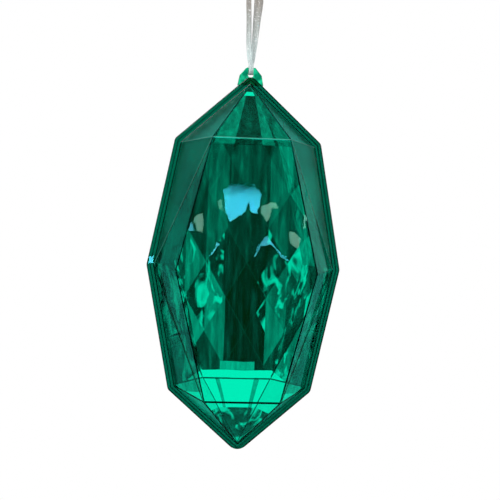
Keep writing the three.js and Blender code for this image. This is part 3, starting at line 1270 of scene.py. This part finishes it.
@dataclass
class Ribbon:
    """The sheer ribbon: two strands that rise from the eye to the knot, and two short tails above it.

    Each stop is X, Y, Z from the knot's centre and the ribbon's width there, all in millimetres.
    """

    width: float = 4.8 * MM
    thickness: float = 0.35 * MM
    step: float = 0.7 * MM
    section_cuts: int = 3
    rise: float = 46
    bight_radius: float = 2.51
    bight_steps: int = 8
    gathered: float = 2.5
    end_gap: float = 0.3
    knot_radius: float = 2.9 * MM
    knot_depth: float = 4.8 * MM
    knot_rings: int = 24
    fold_depth: float = 0.06
    fold_count: float = 9
    fold_slant: float = 0.6
    fold_turn: float = 2

    def bight(self) -> list[Stop]:
        """Works out the turn round the underside of the eye's bar.

        Returns:
            The stops from the back to the front.
        """
        stops = []
        for step in range(self.bight_steps + 1):
            angle = -math.pi * step / self.bight_steps
            y, z = self.bight_radius * math.cos(angle), self.bight_radius * math.sin(angle) - self.rise
            stops.append((0, y, z, self.gathered))
        return stops

    def routes(self) -> dict[str, list[Stop]]:
        """Lists where the strands and the tails run.

        Returns:
            The stops of each, by its node's name.
        """
        return {
            "ribbon_front_strand": self.bight() + [
                (0, -2.5, -44, self.gathered),
                (-0.9, -2.4, -40.6, 2.6),
                (-1.6, -2.0, -32.4, 2.8),
                (-2.0, -1.4, -20, 2.7),
                (-2.4, -1.0, -8, 2.7),
                (-1.2, -0.7, -2.87, 2.4),
            ],
            "ribbon_back_strand": [
                (0, self.bight_radius, self.end_gap - self.rise, self.gathered),
                (0, 2.5, -44, self.gathered),
                (0.8, 2.4, -40.6, 2.6),
                (1.6, 2.0, -32.4, 3.0),
                (2.4, 1.4, -20, 4.0),
                (3.0, 1.0, -8, 4.8),
                (1.3, 0.7, -2.83, 2.6),
            ],
            "ribbon_tail_left": [
                (-1.0, -0.5, 3.0, 3),
                (-2.4, -0.6, 6.2, 4.4),
                (-4.7, -0.7, 8.9, 4.4),
                (-7.6, -0.7, 10.7, 4.4),
                (-10.6, -0.6, 11.2, 4.4),
            ],
            "ribbon_tail_right": [
                (1.0, 0.5, 3.0, 3),
                (1.9, 0.6, 6.6, 4.4),
                (3.6, 0.7, 9.8, 4.4),
                (6.2, 0.7, 12.0, 4.4),
                (9.2, 0.6, 12.9, 4.4),
            ],
        }

    def band(self, name: str, stops: Sequence[Stop], finish: bpy.types.Material) -> bpy.types.Object:
        """Makes one flat band along its stops by a Geometry Nodes tree.

        Args:
            name: The piece's name.
            stops: Where the ribbon runs and how wide it is.
            finish: The cloth.

        Returns:
            The piece.
        """
        curve = bpy.data.curves.new(name, "CURVE")
        curve.dimensions = "3D"
        spline = curve.splines.new("POLY")
        spline.points.add(len(stops) - 1)
        for point, (x, y, z, width) in zip(spline.points, stops):
            point.co = (x * MM, y * MM, z * MM, 1)
            point.radius = width * MM / self.width
        route = new_object(name, curve)
        self._band_tree().put_on(route, finish)
        mesh = evaluated(route)
        bpy.data.objects.remove(route)
        return new_object(name, mesh)

    def _band_tree(self) -> GeometryTree:
        """Makes the tree that turns a curve into a flat band.

        Returns:
            The tree, with the band's width, thickness and step as inputs.
        """
        nodes = GeometryTree(
            "ribbon band", {"Width": self.width, "Thickness": self.thickness, "Step": self.step}
        )
        sizes = nodes.inputs
        route = {0: sizes["Geometry"]}
        smooth = nodes.add("GeometryNodeCurveSplineType", route, spline_type="CATMULL_ROM")[0]
        steps = {"Curve": smooth, "Length": sizes["Step"]}
        resampled = nodes.add("GeometryNodeResampleCurve", steps, mode="LENGTH")[0]
        facing = {"Curve": resampled, "Normal": (1, 0, 0)}
        faced = nodes.add("GeometryNodeSetCurveNormal", facing, mode="FREE")[0]
        marked = nodes.stored(faced, "along", nodes.add("GeometryNodeSplineParameter")["Length"])
        sides = {"Width": sizes["Width"], "Height": sizes["Thickness"]}
        section = nodes.add("GeometryNodeCurvePrimitiveQuadrilateral", sides)[0]
        section = nodes.add("GeometryNodeSubdivideCurve", {0: section, "Cuts": self.section_cuts})[0]
        across = nodes.axis(nodes.add("GeometryNodeInputPosition")[0], "X")
        swept = {
            "Curve": marked,
            "Profile Curve": nodes.stored(section, "across", across),
            "Fill Caps": True,
            "Scale": nodes.add("GeometryNodeInputRadius")[0],
        }
        band = nodes.add("GeometryNodeCurveToMesh", swept)[0]
        uv = nodes.add("ShaderNodeCombineXYZ", {"X": nodes.named("across"), "Y": nodes.named("along")})[0]
        nodes.end(nodes.stored(band, "weave", uv, "FLOAT2", "CORNER"))
        return nodes

    def knot(self, finish: bpy.types.Material) -> bpy.types.Object:
        """Makes the knot: a round lump with the ribbon's folds wrapped across it.

        Args:
            finish: The cloth.

        Returns:
            The piece.
        """

        def fill(bm: bmesh.types.BMesh) -> None:
            """Fills a bmesh with the lump, mapped as if the ribbon ran round it.

            Args:
                bm: An empty bmesh.
            """
            rings, radius = self.knot_rings, self.knot_radius
            bmesh.ops.create_uvsphere(bm, u_segments=2 * rings, v_segments=rings, radius=radius)
            weave = bm.loops.layers.uv.new("weave")
            for f in bm.faces:
                f.smooth = True
                for corner in f.loops:
                    p = corner.vert.co
                    turned = self.knot_radius * math.atan2(p.y, p.z)
                    corner[weave].uv = (p.x + self.fold_slant * p.z, turned)
            for v in bm.verts:
                p = v.co / self.knot_radius
                wave = math.sin(self.fold_count * (p.x + self.fold_slant * p.z) + self.fold_turn * p.y)
                v.co *= 1 - self.fold_depth + self.fold_depth * wave
                v.co.y *= self.knot_depth / (2 * self.knot_radius)

        piece = mesh_piece("ribbon_knot_folds", fill)
        piece.data.materials.append(finish)
        return piece


# The eye


@dataclass
class HangerEye:
    """The moulded eye that stands between the two rims: a flat arch with a round hole."""

    jewel: Jewel
    thickness: float = 3 * MM
    top_half_width: float = 2.4 * MM
    half_width: float = 5.9 * MM
    foot_half_width: float = 6.9 * MM
    rise: float = 5.3 * MM
    shoulder_rise: float = 1.2 * MM
    foot_depth: float = 4 * MM
    hole_radius: float = 1.5 * MM
    hole_sides: int = 48
    bar: float = 2.2 * MM
    edge: float = 0.5 * MM
    edge_steps: int = 3
    sharp_deg: float = 35
    flat_angle: float = 0.01

    def build(self) -> bpy.types.Object:
        """Builds the eye.

        Returns:
            The piece.
        """
        piece = mesh_piece("hanger_eye_moulding", self._fill)
        bevel = piece.modifiers.new("rounded edges", "BEVEL")
        bevel.width = self.edge
        bevel.segments = self.edge_steps
        bevel.limit_method = "ANGLE"
        bevel.angle_limit = math.radians(self.sharp_deg)
        applied(piece)
        return piece

    def _fill(self, bm: bmesh.types.BMesh) -> None:
        """Fills a bmesh with the arch.

        Args:
            bm: An empty bmesh.
        """
        rim_top = self.jewel.rim_top()
        top = rim_top + self.rise
        half = [
            (self.top_half_width, top),
            (self.half_width, rim_top + self.shoulder_rise),
            (self.foot_half_width, rim_top - self.foot_depth),
        ]
        outline = [(-x, z) for x, z in half] + [(x, z) for x, z in reversed(half)]
        middle = top - self.bar - self.hole_radius
        angles = [2 * math.pi * k / self.hole_sides for k in range(self.hole_sides)]
        hole = [(self.hole_radius * math.cos(a), middle + self.hole_radius * math.sin(a)) for a in angles]
        loops = []
        for points in (outline, hole):
            verts = [bm.verts.new(self.jewel.place(x, 0, z, Side.BACK)) for x, z in points]
            loops += [bm.edges.new((a, b)) for a, b in zip(verts, verts[1:] + verts[:1])]
        bmesh.ops.triangle_fill(bm, edges=loops, use_beauty=True)
        bmesh.ops.dissolve_limit(bm, angle_limit=self.flat_angle, verts=bm.verts, edges=bm.edges)
        extruded = bmesh.ops.extrude_face_region(bm, geom=list(bm.faces))
        moved = [g for g in extruded["geom"] if isinstance(g, bmesh.types.BMVert)]
        bmesh.ops.translate(bm, verts=moved, vec=(0, self.thickness, 0))
        bmesh.ops.recalc_face_normals(bm, faces=bm.faces)


# The studio


@dataclass(frozen=True)
class Lamp:
    """A soft square lamp: its place from the jewel's centre, its side in metres and its power in watts."""

    name: str
    offset: tuple[float, float, float]
    size: float
    power: float


LAMPS = (Lamp("key lamp", (-0.35, -0.5, 0.55), 0.3, 4.0), Lamp("fill lamp", (0.6, -0.3, 0.2), 0.4, 2.0))


@dataclass(frozen=True)
class Glint:
    """One bright patch that the photograph shows mirrored in the jewel's front.

    The corners are in the photograph's pixels, and the mirror is the facet that shows it, or the rim.
    """

    corners: tuple[Pixel, ...]
    glow: float
    warmth: float = 0.0
    mirror: str = "table"


# What the front mirrors, by where it is seen. The corners are read off the photograph
GLINTS = {
    "large upper pane": Glint(
        (
            (223.5, 190), (230, 183), (250, 181), (260, 190), (260, 205), (257, 214), (250.4, 213.6),
            (248.7, 198.5), (246.4, 213.4), (238, 215.5), (230.3, 223), (226, 209),
        ),
        1.0,
    ),
    "warm pane right of it": Glint(
        ((261, 207), (268, 205), (275.5, 202), (278, 207), (273, 208.5), (267.3, 223), (262, 214)), 0.8, 1.0
    ),
    "small patch left of it": Glint(((219.5, 200), (222, 200), (225.5, 211), (220, 207)), 0.5, 1.0),
    "left pane": Glint(((194, 218), (203, 213.5), (203, 232), (196, 230)), 0.8, 1.0),
    "left pane's corner": Glint(((189.5, 230), (192.3, 221), (193.5, 230)), 0.8, 0.3),
    "right pane": Glint(((289.5, 231.5), (294, 232.5), (302, 239), (298, 249.5), (290, 245)), 0.85, 1.0),
    "left streak": Glint(((211, 257), (210.2, 256), (218.3, 243.3), (219.6, 244.3)), 0.9, 0.3),
    "middle pane": Glint(((261.5, 243), (265.8, 236), (272, 243.5), (268, 245), (264, 245)), 0.7, 0.2),
    "middle streak": Glint(((253, 256.5), (261.3, 242), (263, 243), (254.3, 257)), 0.6, 0.2),
    "right streak": Glint(((271, 241.5), (289, 261), (287.6, 262), (269.8, 243)), 0.6, 0.2),
    "long upright streak": Glint(
        (
            (304, 228), (304, 206), (306.5, 192), (301, 172),
            (303.5, 172), (308, 192), (306, 206), (305.2, 228),
        ),
        0.9,
        1.0,
    ),
    "its faint neighbour": Glint(
        ((303, 176), (305, 174), (309, 190.5), (306, 203), (305, 203), (306.5, 191)), 0.12, 1.0, "right_up"
    ),
    "spot on the rim": Glint(((148.5, 256.5), (154, 256.5), (154, 264), (148.5, 264)), 1.2, 0.2, "rim"),
}


@dataclass
class Studio:
    """A plain white studio: an even white surround, two soft lamps, a window's panes and a pale floor."""

    surround: float = 0.7
    mirrored_range: tuple[float, float] = (0.04, 0.14)
    sideways: float = 0.25
    raised_range: tuple[float, float] = (-0.08, 0.1)
    behind_range: tuple[float, float] = (-0.35, 0.15)
    floor_hex: str = "#F4F4F2"
    floor_roughness: float = 0.9
    floor_sides: int = 96
    floor_drop: float = 0.3
    floor_radius: float = 0.6
    floor_solid_share: float = 0.4
    window_distance: float = 0.5
    window_hex: str = "#48DCFF"
    warm_hex: str = "#74A694"
    window_strength: float = 62.0
    window_top_pixel: Pixel = (245, 181)
    window_full_pixel: Pixel = (245, 201)
    grain_size: float = 1.6 * MM
    grain_strength: float = 2.5
    haze_range: tuple[float, float] = (0.6, 1.9)

    def build(self, jewel: Jewel, camera: PhotoCamera) -> None:
        """Builds the surround, the lamps, the window and the floor.

        Args:
            jewel: The jewel's sizes and place.
            camera: The photograph's camera.
        """
        self._surround()
        centre = Vector((0, jewel.seam_y, jewel.waist_z))
        for lamp in LAMPS:
            self._lamp(lamp, centre)
        self._window(jewel, camera)
        self._floor(centre - Vector((0, 0, jewel.half_height + self.floor_drop)))

    def _surround(self) -> None:
        """Makes the world: white where it is seen or looked at through the jewel.

        Mirrored, it is lighter behind and above the jewel, and darker in front of it and below.
        """
        world = bpy.data.worlds.new("studio")
        bpy.context.scene.world = world
        world.use_nodes = True
        nodes = Nodes(world.node_tree)
        path = nodes.add("ShaderNodeLightPath")
        direction = nodes.add("ShaderNodeTexCoord")["Generated"]
        x, y, z = (nodes.axis(direction, name) for name in "XYZ")
        raised = nodes.maths("MULTIPLY_ADD", x, self.sideways, z)
        above = nodes.ranged(raised, self.raised_range, smooth=True)
        behind = nodes.ranged(y, self.behind_range, smooth=True)
        both = nodes.maths("MULTIPLY", above, behind)
        mirrored = nodes.ranged(both, (0, 1), self.mirrored_range)
        glossy = path["Is Glossy Ray"]
        plain = nodes.add("ShaderNodeMix", {"Factor": glossy, "A": self.surround, "B": mirrored})[0]
        seen = nodes.maths("MAXIMUM", path["Is Camera Ray"], path["Is Transmission Ray"])
        strength = nodes.add("ShaderNodeMix", {"Factor": seen, "A": plain, "B": 1.0})[0]
        light = nodes.add("ShaderNodeBackground", {"Color": linear("#FFFFFF"), "Strength": strength})[0]
        nodes.add("ShaderNodeOutputWorld", {"Surface": light})

    def _lamp(self, lamp: Lamp, target: Vector) -> None:
        """Makes a lamp that looks at a target and isn't seen itself.

        Args:
            lamp: Its place, size and power.
            target: The jewel's centre.
        """
        data = bpy.data.lights.new(lamp.name, "AREA")
        data.size, data.energy = lamp.size, lamp.power
        made = new_object(lamp.name, data)
        offset = Vector(lamp.offset)
        rotation = (-offset).to_track_quat("-Z", "Y").to_matrix().to_4x4()
        made.matrix_world = Matrix.Translation(target + offset) @ rotation
        made.visible_camera = False
        made.visible_transmission = False

    def _window(self, jewel: Jewel, camera: PhotoCamera) -> None:
        """Makes the bright panes that the jewel's flat front mirrors.

        Args:
            jewel: The jewel's sizes and place.
            camera: The photograph's camera.
        """
        eye = camera.place(Vector((0, jewel.seam_y, jewel.waist_z)))
        shell = HalfShell("mirror", Side.FRONT, jewel, False)

        def mirrored(pixel: Pixel, mirror: str) -> Vector:
            """Finds the place that one facet mirrors.

            Args:
                pixel: Where the photograph shows it, by column and row.
                mirror: The facet's name, or "rim".

            Returns:
                The place, at the window's distance from the facet.
            """
            point, normal = shell.plane(mirror)
            ray = camera.ray(pixel)
            touch = eye + ray * ((point - eye).dot(normal) / ray.dot(normal))
            return touch + ray.reflect(normal) * self.window_distance

        def fill(bm: bmesh.types.BMesh) -> None:
            """Fills a bmesh with one face for each pane, where its mirror image puts it.

            Args:
                bm: An empty bmesh.
            """
            glow = bm.faces.layers.float.new("glow")
            warmth = bm.faces.layers.float.new("warmth")
            for glint in GLINTS.values():
                pane = bm.faces.new([bm.verts.new(mirrored(pixel, glint.mirror)) for pixel in glint.corners])
                pane[glow], pane[warmth] = glint.glow, glint.warmth

        window = mesh_piece("window panes", fill)
        made, nodes = new_material("bright window pane")
        place = nodes.place()
        heights = [mirrored(pixel, "table").z for pixel in (self.window_top_pixel, self.window_full_pixel)]
        fade = nodes.ranged(nodes.axis(place, "Z"), heights, (-1, 1))
        haze = nodes.maths("MULTIPLY_ADD", nodes.noise(place, self.grain_size), self.grain_strength, fade)
        strength = nodes.maths("MULTIPLY", nodes.attribute("glow"), nodes.ranged(haze, self.haze_range))
        strength = nodes.maths("MULTIPLY", strength, self.window_strength)
        colour = nodes.mix(nodes.attribute("warmth"), linear(self.window_hex), linear(self.warm_hex))
        light = nodes.add("ShaderNodeEmission", {"Color": colour, "Strength": strength})[0]
        nodes.add("ShaderNodeOutputMaterial", {"Surface": light})
        window.data.materials.append(made)
        for ray in ("camera", "diffuse", "transmission", "shadow"):
            setattr(window, "visible_" + ray, False)

    def _floor(self, centre: Vector) -> None:
        """Makes the pale floor, a disc that fades into the white surround towards its edge.

        Args:
            centre: The disc's middle.
        """

        def fill(bm: bmesh.types.BMesh) -> None:
            """Fills a bmesh with the disc."""
            bmesh.ops.create_circle(bm, cap_ends=True, segments=self.floor_sides, radius=self.floor_radius)
            bmesh.ops.translate(bm, verts=bm.verts, vec=centre)

        floor = mesh_piece("floor", fill)
        made, nodes = new_material("pale matt floor")
        ends = {0: nodes.place(), 1: tuple(centre)}
        away = nodes.add("ShaderNodeVectorMath", ends, operation="DISTANCE")["Value"]
        solid_radius = self.floor_solid_share * self.floor_radius
        fade = nodes.ranged(away, (solid_radius, self.floor_radius), (1, 0))
        colour = linear(self.floor_hex)
        nodes.surface({"Base Color": colour, "Roughness": self.floor_roughness, "Alpha": fade})
        floor.data.materials.append(made)
        floor.visible_glossy = False


def declare_ribbon(ribbon: Ribbon) -> list[bpy.types.Object]:
    """Makes the ribbon's pieces and says how they hang.

    Args:
        ribbon: The ribbon's sizes.

    Returns:
        The ribbon's pieces.
    """
    finish = Organza().build()
    routes = ribbon.routes()
    pieces = {name: ribbon.band(name + "_weave", stops, finish) for name, stops in routes.items()}
    pieces["ribbon_knot"] = ribbon.knot(finish)
    for node, piece in pieces.items():
        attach(piece, "ribbon" if "strand" in node else "knot")
        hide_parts(node)
    return list(pieces.values())


def shell_finishes() -> dict[Slot, bpy.types.Material]:
    """Builds the materials of the shells.

    Returns:
        The material of each slot.
    """
    facet = ClearAcrylic("moulded green acrylic").build()
    rim = ClearAcrylic("green acrylic rim", clear_hex="#00A08C").build()
    # Painted shade on the creases: a dark colour with no gloss
    shaded_crease = ClearAcrylic(
        "crease with painted shade in green acrylic",
        clear_hex="#00241C",
        gloss_tint_hex="#000000",
        roughness=0.2,
    )
    # A pale, rough crease: its pale colour is a painted highlight
    highlight_crease = ClearAcrylic(
        "pale crease with painted highlight in green acrylic",
        clear_hex="#58B8A4",
        gloss_tint_hex="#FFFFFF",
        roughness=0.3,
        rub_roughness=0.5,
        transmission=0.6,
    )
    return {
        Slot.FACET: facet,
        Slot.PAINTED_SHADE_CREASE: shaded_crease.build(),
        Slot.PAINTED_HIGHLIGHT_CREASE: highlight_crease.build(),
        Slot.FINE_CREASE: facet,
        Slot.RIM: rim,
        Slot.HAZY_FACET: ClearAcrylic("hazy green acrylic", roughness=0.28, rub_roughness=0.34).build(),
        # Painted shade on the rim's edge: a near-black colour
        Slot.RIM_EDGE: ClearAcrylic("rim's edge with painted shade in green acrylic", clear_hex="#002018").build(),
        # The back's cut inner face, with painted light, shade and glints
        Slot.INSIDE: CutAcrylicWithPaintedLight("cut green acrylic with painted light and shade").build(),
    }


def build_jewel(jewel: Jewel) -> list[bpy.types.Object]:
    """Makes the two shells and the eye.

    Args:
        jewel: The shared sizes.

    Returns:
        The jewel's pieces.
    """
    finishes = shell_finishes()
    pieces = []
    for name, side, cut in (("front_shell", Side.FRONT, False), ("back_shell", Side.BACK, True)):
        piece = HalfShell(name + "_moulding", side, jewel, cut).build(finishes)
        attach(piece, "bauble")
        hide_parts(name)
        pieces.append(piece)
    eye = HangerEye(jewel).build()
    eye.data.materials.clear()
    eye.data.materials.append(CloudyAcrylic("thin green acrylic").build())
    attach(eye, "bauble")
    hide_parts("hanger_eye")
    pieces.append(eye)
    return pieces


def main() -> None:
    """Builds the camera, the ribbon, the jewel and the studio in that order."""
    logging.basicConfig(level=logging.INFO, format="%(name)s: %(message)s")
    bpy.context.scene.view_settings.view_transform = "Standard"
    jewel = Jewel()
    camera = PhotoCamera()
    camera.build(Vector((0, jewel.seam_y, jewel.waist_z)))
    for piece in declare_ribbon(Ribbon()) + build_jewel(jewel):
        LOG.info("%s: %d faces", piece.name, len(piece.data.polygons))
    Studio().build(jewel, camera)


if __name__ == "__main__":
    main()
